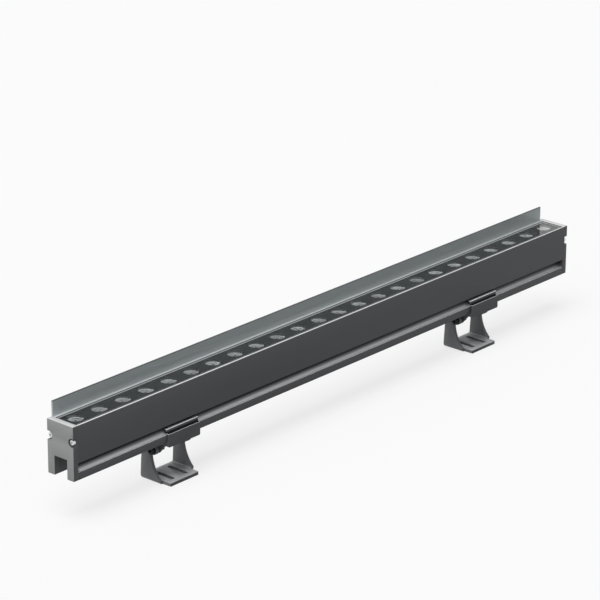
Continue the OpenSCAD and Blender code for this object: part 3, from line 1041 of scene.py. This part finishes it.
def foot_finish(side: Side) -> CastPowderCoat:
    """Gives the finish of one foot.

    The upper face of its base is painted paler, as painted light, and the front edge of the base
    is painted darker, as painted shade.

    Args:
        side: Side of the foot.

    Returns:
        The finish.
    """
    left = side.value * CLIP_MM - FOOT_HALF_MM
    right = side.value * CLIP_MM + FOOT_HALF_MM
    # Painted light on the upper face of the base
    base_painted_light = (
        past(Axis.Z, FOOT_TOP_MM, FOOT_TOP_REACH),
        past(Axis.Z, FOOT_TOP_MM, FOOT_BEND_REACH),
        Rise(Axis.X, left - FOOT_LIGHT_MARGIN_MM, left + FOOT_LIGHT_MARGIN_MM),
        Rise(Axis.X, right + FOOT_LIGHT_MARGIN_MM, right - FOOT_LIGHT_MARGIN_MM),
    )
    # Painted shade on the front edge of the base
    edge = (
        past(Axis.Z, FOOT_TOP_MM, FOOT_SIDE_REACH),
        past(Axis.Y, FOOT_FRONT_MM, FOOT_FRONT_REACH),
    )
    return CastPowderCoat(
        f"dark powder coat on bent plate, {side.word}",
        "#6a6c6e",
        "#707273",
        roughness=0.4,
        zones=(Zone("#b2b5b6", base_painted_light), Zone("#3a3c3d", edge)),
    )


# Stainless heads mirror the studio brightly, and blackened ones show little but their edges.
STEEL_FINISH = TurnedSteel("turned stainless steel")
DARK_STEEL_FINISH = TurnedSteel("black oxide steel", tone="#26282a", mark="#181a1b")

# Clear glass lets the matt black plate and the pale lenses show, framed by the seal.
GLASS_FINISH = FloatGlass("coated float glass")
# The seal's walls below the glass top are painted shade.
SEAL_TOP = past(Axis.Z, GLASS_TOP_MM, SEAL_REACH)
SEAL_FINISH = SiliconeSeal("moulded silicone", "#989c9d", "#0c0d0e", SEAL_TOP)
MASK_FINISH = MouldedPlastic("matt black screened plate", "#15191a", "#1a1e1f", roughness=0.6)
# The lenses' pale tone and bright rings are painted light and painted highlights.
LENS_FINISH = MouldedAcrylic("clear moulded acrylic", LENS_FIRST_MM, LENS_PITCH_MM, LENS_FACE_R_MM)
PHOSPHOR_FINISH = Phosphor("yellow phosphor", "#d8c24a", "#e6d77a")

# Rubber is the dullest of the blacks, and polyamide keeps a soft sheen.
RUBBER_FINISH = MouldedPlastic("black moulded rubber", "#161616", "#1e1e1e", roughness=0.7)
NYLON_FINISH = MouldedPlastic("black moulded polyamide", "#1a1b1c", "#232425", roughness=0.45)
PLAIN_NYLON_FINISH = MouldedPlastic("natural moulded polyamide", "#dcdcd4", "#e6e6e0")
TERMINAL_FINISH = MouldedPlastic("green moulded polyamide", "#2f7d55", "#38885f")

# Solder mask, shrink sleeve and wire insulation are smooth and half glossy. The sintered core
# and the thermal pad are dull and grainy.
BOARD_FINISH = MouldedPlastic("white solder mask", "#dfe2dd", "#e8eae6", roughness=0.4)
DRIVER_FINISH = MouldedPlastic("green solder mask", "#28613a", "#2f6b43", roughness=0.35)
SLEEVE_FINISH = MouldedPlastic("printed shrink sleeve", "#1d2126", "#23272c", roughness=0.3)
LEAD_FINISH = MouldedPlastic("brown wire insulation", "#6b3a20", "#774327", roughness=0.4)
LED_LEAD_FINISH = MouldedPlastic("red wire insulation", "#a02a22", "#ab322a", roughness=0.4)
FERRITE_FINISH = MouldedPlastic("sintered ferrite", "#39352f", "#453f37", roughness=0.8)
PAD_FINISH = MouldedPlastic("grey thermal pad", "#b9b9bc", "#c1c1c4", roughness=0.8)


# Turned and moulded pieces


@dataclass(frozen=True)
class SocketScrew:
    """A screw with a hexagon socket and a chamfered head, in millimetres.

    The head's upper edge is cut in two steps: a steep outer one, which goes in by the corner
    share of the chamfer, and a flat inner one, which rises by it.
    """

    shank_r: float
    shank_l: float
    head_r: float
    head_h: float
    key: float
    key_depth: float
    chamfer: float
    corner_share: float = 0.3

    def model(self, name: str) -> Object:
        """Turns one screw on the Z axis, with the underside of its head at the origin.

        Args:
            name: Name of the model.

        Returns:
            The screw.
        """
        under = self.chamfer / 2
        corner = self.chamfer * self.corner_share
        work = Profile(name, self.shank_r - self.chamfer)
        work.step(self.shank_r, self.chamfer)
        work.step(self.shank_r, self.shank_l - self.chamfer)
        work.step(self.head_r - under, 0.0)
        work.step(self.head_r, under)
        work.step(self.head_r, self.head_h - self.chamfer - under)
        work.step(self.head_r - corner, self.chamfer - corner)
        work.step(self.head_r - self.chamfer, corner)
        work.six_sided(self.key + self.chamfer)
        work.six_sided(self.key)
        work.step(self.key / 2, -self.key_depth)
        screw = work.done()
        screw.data.transform(Matrix.Translation((0, 0, -self.shank_l * MM)))
        return screw


@dataclass(frozen=True)
class Lens:
    """A moulded lens, in millimetres: foot, flared cone, raised ring, dished face and pit.

    Each step of the cone has a share of the way out, whose root counts, and one of the height.
    """

    foot_r: float = 6.5
    foot_h: float = 1.0
    skirt_r: float = 9.6
    cone: tuple[tuple[float, float], ...] = ((0.35, 0.34), (0.7, 0.34), (1.0, 0.32))
    face_r: float = LENS_FACE_R_MM
    face_t: float = 1.6
    face_edge: float = 0.2
    ring_w: float = 1.1
    ring_slope: float = 0.3
    ring_h: float = 0.5
    bowl_r: float = 4.8
    bowl_depth: float = 0.15
    eye_r: float = 2.4
    eye_rise: float = 0.1
    pit_r: float = 1.92
    pit_depth: float = 1.2
    smooth_deg: float = 40.0

    def model(self, height_mm: float) -> Object:
        """Grows one lens on the Z axis.

        Args:
            height_mm: Height of the lens.

        Returns:
            The lens, standing on the origin.
        """
        flare = height_mm - self.face_t - self.foot_h
        work = Profile("lens_model", self.foot_r)
        work.step(self.foot_r, self.foot_h)
        for way_out, rise in self.cone:
            spread = self.foot_r + (self.skirt_r - self.foot_r) * math.sqrt(way_out)
            work.step(spread, flare * rise)
        work.step(self.face_r, 0.0)
        work.step(self.face_r, self.face_t - self.face_edge)
        work.step(self.face_r - self.face_edge, self.face_edge)
        work.step(self.face_r - self.ring_w, 0.0)
        work.step(self.face_r - self.ring_w - self.ring_slope, -self.ring_h)
        work.step(self.bowl_r, -self.bowl_depth)
        work.step(self.eye_r, self.eye_rise)
        work.step(self.pit_r, -self.pit_depth)
        return work.done(self.smooth_deg)


# Sub-assemblies


@dataclass
class Assembly:
    """A sub-assembly of the lamp, with the names of its finished pieces."""

    pieces: list[str] = field(default_factory=list, init=False)

    def build(self) -> None:
        """Builds the pieces that the scene shapes anew."""

    def dress(self) -> None:
        """Finishes the nodes that stay as the frame brings them."""

    def add(self, obj: Object, finish: Finish, body: Body) -> None:
        """Gives a piece its finish and the body that it rides on.

        Args:
            obj: The piece.
            finish: Its finish.
            body: The body.
        """
        obj.data.materials.clear()
        obj.data.materials.append(finish.material())
        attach(obj, body.value)
        self.pieces.append(obj.name)

    def dress_nodes(self, finishes: dict[str, Finish]) -> None:
        """Gives nodes of the frame their finishes.

        Args:
            finishes: The finish of each node, by the node's name.
        """
        for node, finish in finishes.items():
            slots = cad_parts[node].data.materials
            slots.clear()
            slots.append(finish.material())
            self.pieces.append(node)

    def set_screws(
        self, node: str, screw: SocketScrew, outs: Iterable[Vector], finish: Finish, body: Body
    ) -> None:
        """Sets one screw in each place that a node of the frame has.

        Args:
            node: Name of the node that the screws stand for.
            screw: The screw.
            outs: For each place, the direction that the head points to.
            finish: Finish of the screws.
            body: Body that they ride on.
        """
        model = screw.model(f"{node}_model")
        for number, ((low, high), out) in enumerate(zip(solid_boxes(node), outs), start=1):
            half = abs((high - low).dot(out)) / 2
            seat = (low + high) / 2 + out * (half - screw.head_h * MM)
            copy = place_copy(model, f"{node}_{number}", seat, out)
            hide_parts(node)
            self.add(copy, finish, body)
        bpy.data.objects.remove(model)


@dataclass
class LampBody(Assembly):
    """The extruded body with its glare visor and the screws that hold it from behind."""

    body_round: float = 0.18
    visor_round: float = 0.3
    visor_screw: SocketScrew = SocketScrew(
        shank_r=1.5, shank_l=6.0, head_r=2.8, head_h=1.8, key=2.0, key_depth=1.0, chamfer=0.25
    )

    def build(self) -> None:
        """Rounds the edges of body and visor and sets the visor's screws."""
        housing = rounded_copy("housing", "body_profile", self.body_round)
        self.add(housing, HOUSING_FINISH, Body.LAMP)
        visor = rounded_copy("visor", "glare_visor", self.visor_round)
        self.add(visor, VISOR_FINISH, Body.LAMP)
        screw = self.visor_screw
        self.set_screws("visor_screws", screw, repeat(REARWARD), STEEL_FINISH, Body.LAMP)


@dataclass
class EndCaps(Assembly):
    """The two end caps with their gaskets and screws."""

    cap_round: float = 0.25
    screws_each: int = 2
    screw: SocketScrew = SocketScrew(
        shank_r=2.0, shank_l=18.0, head_r=3.5, head_h=4.0, key=3.0, key_depth=2.0, chamfer=0.4
    )

    def build(self) -> None:
        """Rounds the caps' edges and sets the screws in their notches."""
        for side in Side:
            cap = rounded_copy(f"end_cap_{side.word}", f"cap_{side.word}", self.cap_round)
            self.add(cap, CAP_FINISH, Body.LAMP)
        outs = [LEFTWARD] * self.screws_each + [RIGHTWARD] * self.screws_each
        self.set_screws("cap_screws", self.screw, outs, STEEL_FINISH, Body.LAMP)

    def dress(self) -> None:
        """Dresses the gaskets."""
        self.dress_nodes({f"end_gasket_{side.word}": RUBBER_FINISH for side in Side})


@dataclass
class LightEngine(Assembly):
    """Glass, seal, mask, lenses, diodes and their board, with sizes in millimetres."""

    lens: Lens = Lens()
    lens_set_back: float = 1.1
    mask_bedding: float = 0.03

    def build(self) -> None:
        """Grows one lens, copies it to each place of the row and lays the mask over them."""
        boxes = solid_boxes("lenses")
        low, high = boxes[0]
        model = self.lens.model((high.z - low.z) / MM - self.lens_set_back)
        for number, (low, high) in enumerate(boxes, start=1):
            middle = (low + high) / 2
            foot = Vector((middle.x, middle.y, low.z))
            lens = place_copy(model, f"lens_{number:02d}", foot, UPWARD)
            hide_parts("lenses")
            self.add(lens, LENS_FINISH, Body.LAMP)
        bpy.data.objects.remove(model)
        self.bed_mask()

    def bed_mask(self) -> None:
        """Beds the mask into the glass, so that no gap of air mirrors between them."""
        plate = clean_copy("lens_mask", "screened_plate")
        plate.data.transform(Matrix.Translation((0, 0, self.mask_bedding * MM)))
        smooth(plate)
        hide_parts("lens_mask")
        self.add(plate, MASK_FINISH, Body.LAMP)

    def dress(self) -> None:
        """Dresses the glass, the seal, and the board with what lies on and under it."""
        self.dress_nodes(
            {
                "glass": GLASS_FINISH,
                "glass_seal": SEAL_FINISH,
                "led_board": BOARD_FINISH,
                "led_chips": PHOSPHOR_FINISH,
                "thermal_pad": PAD_FINISH,
                "board_screws": STEEL_FINISH,
            }
        )


@dataclass
class CableGland(Assembly):
    """The cable gland in the roof of the channel."""

    round_mm: float = 0.4

    def build(self) -> None:
        """Rounds the corners of the moulded parts."""
        for node in ("gland_body", "gland_nut"):
            part = rounded_copy(node, f"{node}_moulding", self.round_mm)
            self.add(part, NYLON_FINISH, Body.LAMP)

    def dress(self) -> None:
        """Dresses the seal and the locknut."""
        self.dress_nodes({"gland_seal": RUBBER_FINISH, "gland_locknut": STEEL_FINISH})


@dataclass
class ClampClip(Assembly):
    """A clip that slides in the side grooves, with its lock screws and pivot hardware."""

    side: Side
    clip_round: float = 0.4
    nut_round: float = 0.3
    washer_round: float = 0.15
    pivot_screw: SocketScrew = SocketScrew(
        shank_r=3.0, shank_l=17.9, head_r=5.2, head_h=3.5, key=4.0, key_depth=2.2, chamfer=0.5
    )

    @property
    def body(self) -> Body:
        """The body of this side's clip."""
        return Body[f"CLIP_{self.side.name}"]

    def build(self) -> None:
        """Rounds the clip, its nuts and washers, and sets the pivot screws."""
        word = self.side.word
        clip = rounded_copy(f"clip_{word}", f"clamp_clip_{word}", self.clip_round)
        self.add(clip, CLIP_FINISH, self.body)
        for node, width in (("pivot_nuts", self.nut_round), ("pivot_washers", self.washer_round)):
            part = rounded_copy(f"{node}_{word}", f"{node}_cut_{word}", width)
            self.add(part, DARK_STEEL_FINISH, self.body)
        outs = (LEFTWARD, RIGHTWARD)
        node = f"pivot_bolts_{word}"
        self.set_screws(node, self.pivot_screw, outs, DARK_STEEL_FINISH, self.body)

    def dress(self) -> None:
        """Dresses the small bright steel parts."""
        nodes = (f"{node}_{self.side.word}" for node in ("lock_screws", "spring_washers"))
        self.dress_nodes(dict.fromkeys(nodes, STEEL_FINISH))


@dataclass
class BracketFoot(Assembly):
    """A foot bent from plate, with two slots and two swept legs."""

    side: Side
    round_mm: float = 0.3

    def build(self) -> None:
        """Rounds the foot's edges and slots."""
        word = self.side.word
        foot = rounded_copy(f"yoke_{word}", f"bracket_foot_{word}", self.round_mm)
        self.add(foot, foot_finish(self.side), Body[f"FOOT_{self.side.name}"])


@dataclass
class Driver(Assembly):
    """The driver's board and the parts on it, with the inner leads."""

    def dress(self) -> None:
        """Dresses each part of the driver."""
        self.dress_nodes(
            {
                "driver_board": DRIVER_FINISH,
                "board_spacers": PLAIN_NYLON_FINISH,
                "driver_screws": STEEL_FINISH,
                "transformer": FERRITE_FINISH,
                "capacitors": SLEEVE_FINISH,
                "terminal_block": TERMINAL_FINISH,
                "supply_leads": LEAD_FINISH,
                "led_leads": LED_LEAD_FINISH,
                "shelf_grommet": RUBBER_FINISH,
            }
        )


# Studio

# A camera without a turn looks straight down, and this much tips it level
LEVEL_DEG = 90.0


@dataclass(frozen=True)
class PhotoCamera:
    """The photograph's camera, in millimetres and degrees."""

    place: tuple[float, float, float] = (-2871.4, -2478.0, 1586.0)
    heading: float = 48.628
    dip: float = 20.692
    roll: float = 0.226
    lens: float = 182.7
    sensor: float = 36.0
    reach_m: float = 200.0

    def build(self) -> None:
        """Makes the camera and hands it to the scene."""
        data = bpy.data.cameras.new("photo_camera")
        data.lens = self.lens
        data.sensor_width = self.sensor
        data.clip_end = self.reach_m
        camera = bpy.data.objects.new("photo_camera", data)
        bpy.context.scene.collection.objects.link(camera)
        turn = (
            Matrix.Rotation(-math.radians(self.heading), 4, "Z")
            @ Matrix.Rotation(math.radians(LEVEL_DEG - self.dip), 4, "X")
            @ Matrix.Rotation(math.radians(self.roll), 4, "Z")
        )
        camera.matrix_world = Matrix.Translation(Vector(self.place) * MM) @ turn
        bpy.context.scene.camera = camera


@dataclass(frozen=True)
class SoftLight:
    """One distant light: where it shines from, how strongly and how softly.

    At a strength of 1 a white face that looks into the light shows as white.
    """

    name: str
    source: tuple[float, float, float]
    strength: float
    spread_deg: float

    def build(self) -> None:
        """Makes the light."""
        data = bpy.data.lights.new(self.name, "SUN")
        data.energy = self.strength * math.pi
        data.angle = math.radians(self.spread_deg)
        light = bpy.data.objects.new(self.name, data)
        light.matrix_world = Vector(self.source).to_track_quat("Z", "Y").to_matrix().to_4x4()
        bpy.context.scene.collection.objects.link(light)


@dataclass(frozen=True)
class Studio:
    """A pale floor under soft light from above and from the left.

    Most of what the eye sees of the floor is a glow, so that it shows as pale as the sky behind
    it and throws less light back onto the lamp than it shows.
    """

    floor_half_m: float = 40.0
    floor_tone: str = "#fafafa"
    floor_bounce: str = "#8a8a8a"
    floor_glow: float = 0.8
    sky_tone: str = "#ffffff"
    sky_light: float = 0.26
    sky_shown: float = 0.955
    lights: tuple[SoftLight, ...] = (
        SoftLight("top_light", (-0.35, -0.10, 0.93), strength=0.72, spread_deg=40.0),
        SoftLight("left_light", (-0.97, -0.02, 0.24), strength=0.45, spread_deg=40.0),
    )

    def build(self) -> None:
        """Lays the floor, lights it and sets the world."""
        bpy.ops.object.select_all(action="DESELECT")
        bpy.ops.mesh.primitive_plane_add(size=2 * self.floor_half_m)
        floor = bpy.context.active_object
        floor.name = "studio_floor"
        floor.data.materials.append(self.paper())
        for light in self.lights:
            light.build()
        self.build_world()

    def paper(self) -> Material:
        """Builds the material of the floor.

        Returns:
            The material.
        """
        material, tree = new_material("matt studio paper")
        seen = self.seen(tree)
        tone = add_node(
            tree,
            "ShaderNodeMix",
            {
                "Factor": seen,
                MIX_COLOUR_A: linear(self.floor_bounce),
                MIX_COLOUR_B: linear(self.floor_tone),
            },
            data_type="RGBA",
        )
        paper = add_node(tree, "ShaderNodeBsdfDiffuse", {"Color": tone.outputs[MIX_COLOUR]})
        glow = add_node(tree, "ShaderNodeEmission", {"Color": linear(self.floor_tone)})
        share = add_node(
            tree, "ShaderNodeMath", {0: seen, 1: self.floor_glow}, operation="MULTIPLY"
        )
        pale = add_node(
            tree,
            "ShaderNodeMixShader",
            {0: share.outputs["Value"], 1: paper.outputs["BSDF"], 2: glow.outputs["Emission"]},
        )
        show(tree, pale.outputs["Shader"])
        return material

    def seen(self, tree: NodeTree) -> NodeSocket:
        """Gives 1 for rays that the eye, gloss or glass sends out, and 0 for scattered light.

        Args:
            tree: Node tree.

        Returns:
            The factor socket.
        """
        path = add_node(tree, "ShaderNodeLightPath")
        sight = path.outputs["Is Camera Ray"]
        for ray in ("Is Glossy Ray", "Is Transmission Ray"):
            both = add_node(
                tree, "ShaderNodeMath", {0: sight, 1: path.outputs[ray]}, operation="MAXIMUM"
            )
            sight = both.outputs["Value"]
        return sight

    def build_world(self) -> None:
        """Sets an even sky that shows pale to the eye, to gloss and through glass."""
        world = bpy.data.worlds.new("studio_world")
        world.use_nodes = True
        tree = world.node_tree
        tree.nodes.clear()
        strength = add_node(
            tree,
            "ShaderNodeMapRange",
            {"Value": self.seen(tree), "To Min": self.sky_light, "To Max": self.sky_shown},
        )
        sky = add_node(
            tree,
            "ShaderNodeBackground",
            {"Color": linear(self.sky_tone), "Strength": strength.outputs["Result"]},
        )
        add_node(tree, "ShaderNodeOutputWorld", {"Surface": sky.outputs["Background"]})
        bpy.context.scene.world = world


def main() -> None:
    """Builds the lamp's sub-assemblies, the studio and the camera."""
    assemblies: list[Assembly] = [LampBody(), EndCaps(), LightEngine(), CableGland(), Driver()]
    assemblies += [ClampClip(side) for side in Side]
    assemblies += [BracketFoot(side) for side in Side]
    for assembly in assemblies:
        assembly.build()
        assembly.dress()
        for piece in assembly.pieces:
            log.info("%s: %s", type(assembly).__name__, piece)
    Studio().build()
    PhotoCamera().build()
    scene = bpy.context.scene
    scene.view_settings.view_transform = "Standard"


if __name__ == "__main__":
    main()
